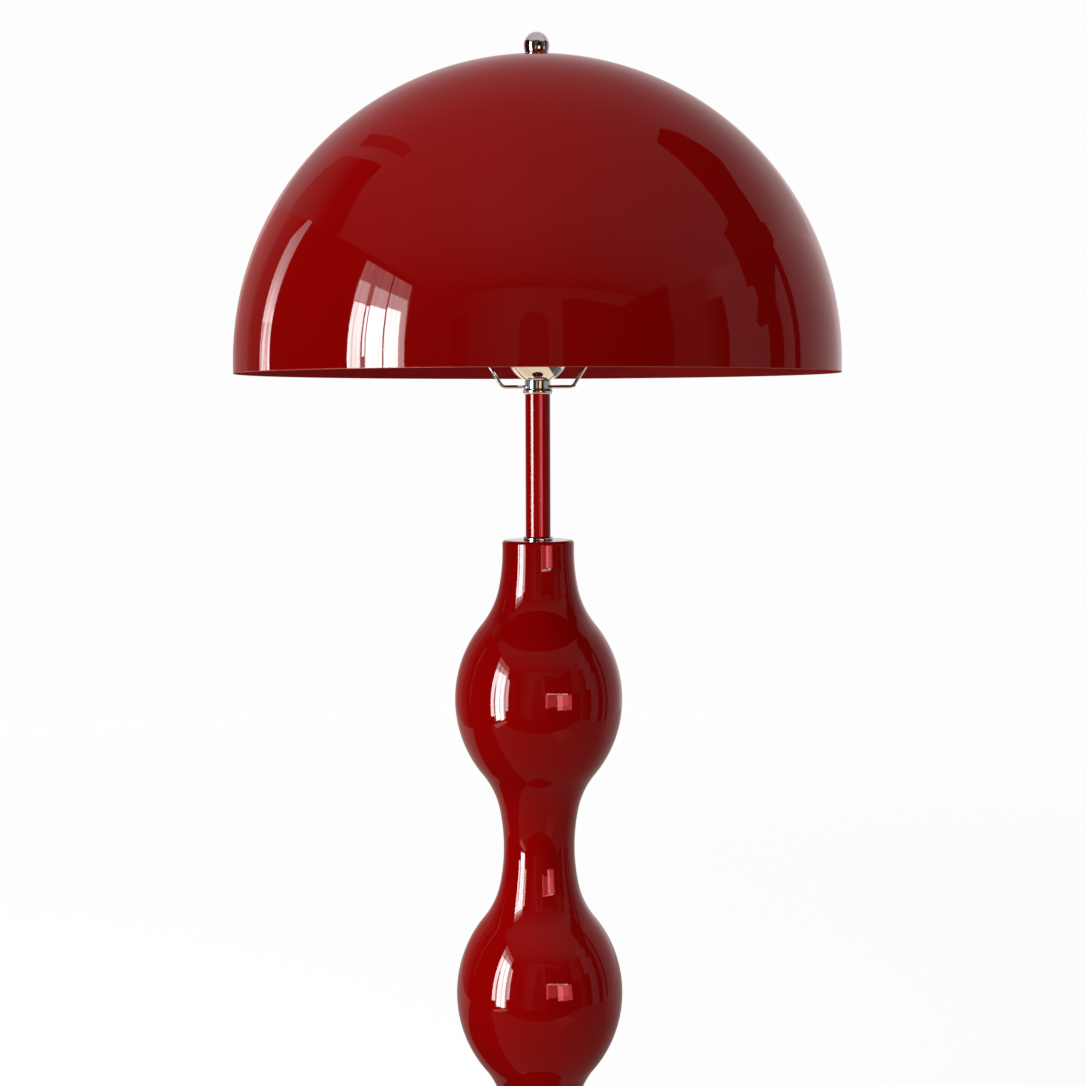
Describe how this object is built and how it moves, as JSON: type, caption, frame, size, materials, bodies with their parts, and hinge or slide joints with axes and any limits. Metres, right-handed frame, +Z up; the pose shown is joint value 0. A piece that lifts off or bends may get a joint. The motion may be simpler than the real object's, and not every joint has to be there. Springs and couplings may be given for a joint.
{
  "type": "mushroom floor lamp",
  "caption": "Tall floor lamp: a deep domed metal shade held by a wire harp and finial over a slim stem on a bubbled column with a round flared foot.",
  "frame": {"origin": "centre of the circle of pads, on the floor that the lamp stands on", "axes": "+Z up along the lamp's axis, -Y towards the front, +Y towards the mains inlet at the back, +X to the right seen from the front"},
  "size_m": [0.5999, 0.6, 1.5],
  "materials": {
    "red_lacquer": "deep red gloss lacquer on spun and drawn steel",
    "chrome": "polished chrome plating",
    "nickel": "nickel-plated pressed cap",
    "zinc_steel": "bright zinc-plated threaded steel",
    "plate_steel": "black powder-coated sheet",
    "cast_iron": "rough casting",
    "brass": "pressed brass",
    "black_plastic": "moulded black plastic",
    "pad_rubber": "matt rubber",
    "opal_glass": "satin opal glass"
  },
  "bodies": {
    "stand": {"foot_pads": "pad_rubber", "bottom_plate": "plate_steel", "bottom_plate_screws": "zinc_steel", "foot_weight": "cast_iron", "foot_cover": "red_lacquer", "inlet_bushing": "black_plastic", "lower_pipe": "zinc_steel", "upper_pipe": "zinc_steel", "pipe_nut": "zinc_steel", "lock_washer": "zinc_steel", "pipe_coupler": "zinc_steel", "foot_spigot": "black_plastic", "column_spigot": "black_plastic", "column_lower": "red_lacquer", "column_upper": "red_lacquer", "lower_check_ring": "chrome", "stem": "red_lacquer", "upper_check_ring": "chrome", "harp_collar": "chrome", "harp": "chrome", "lampholder_cup": "chrome", "lampholder_body": "black_plastic", "socket_shell": "brass", "centre_contact": "brass"},
    "swivel": {"swivel_stud": "chrome", "crown_plate": "chrome"},
    "shade": {"shade": "red_lacquer"},
    "captive_washer": {"captive_washer": "chrome"},
    "finial": {"finial": "chrome"},
    "bulb_cap": {"bulb_cap": "nickel", "bulb_insulator": "black_plastic"},
    "bulb_globe": {"bulb_globe": "opal_glass"}
  },
  "joints": [
    {"name": "shade_swivel", "type": "hinge", "parent": "stand", "child": "swivel", "pos_m": [0, 0, 1.462], "axis": [0, 0, 1], "continuous": true},
    {"name": "shade_lift", "type": "slide", "parent": "swivel", "child": "shade", "axis": [0, 0, 1], "range_m": [0, 0.36]},
    {"name": "finial_rise", "type": "slide", "parent": "shade", "child": "captive_washer", "axis": [0, 0, 1], "range_m": [0, 0.01]},
    {"name": "finial_turn", "type": "hinge", "parent": "captive_washer", "child": "finial", "pos_m": [0, 0, 1.475], "axis": [0, 0, 1], "range_deg": [0, 3600.01]},
    {"name": "bulb_rise", "type": "slide", "parent": "stand", "child": "bulb_cap", "axis": [0, 0, 1], "range_m": [0, 0.02]},
    {"name": "bulb_turn", "type": "hinge", "parent": "bulb_cap", "child": "bulb_globe", "pos_m": [0, 0, 1.2], "axis": [0, 0, 1], "range_deg": [0, 1984.1]}
  ],
  "couplings": [
    {"joint": "finial_turn", "follows": "finial_rise", "rad_per_m": 6283.2},
    {"joint": "bulb_turn", "follows": "bulb_rise", "rad_per_m": 1731.4}
  ]
}
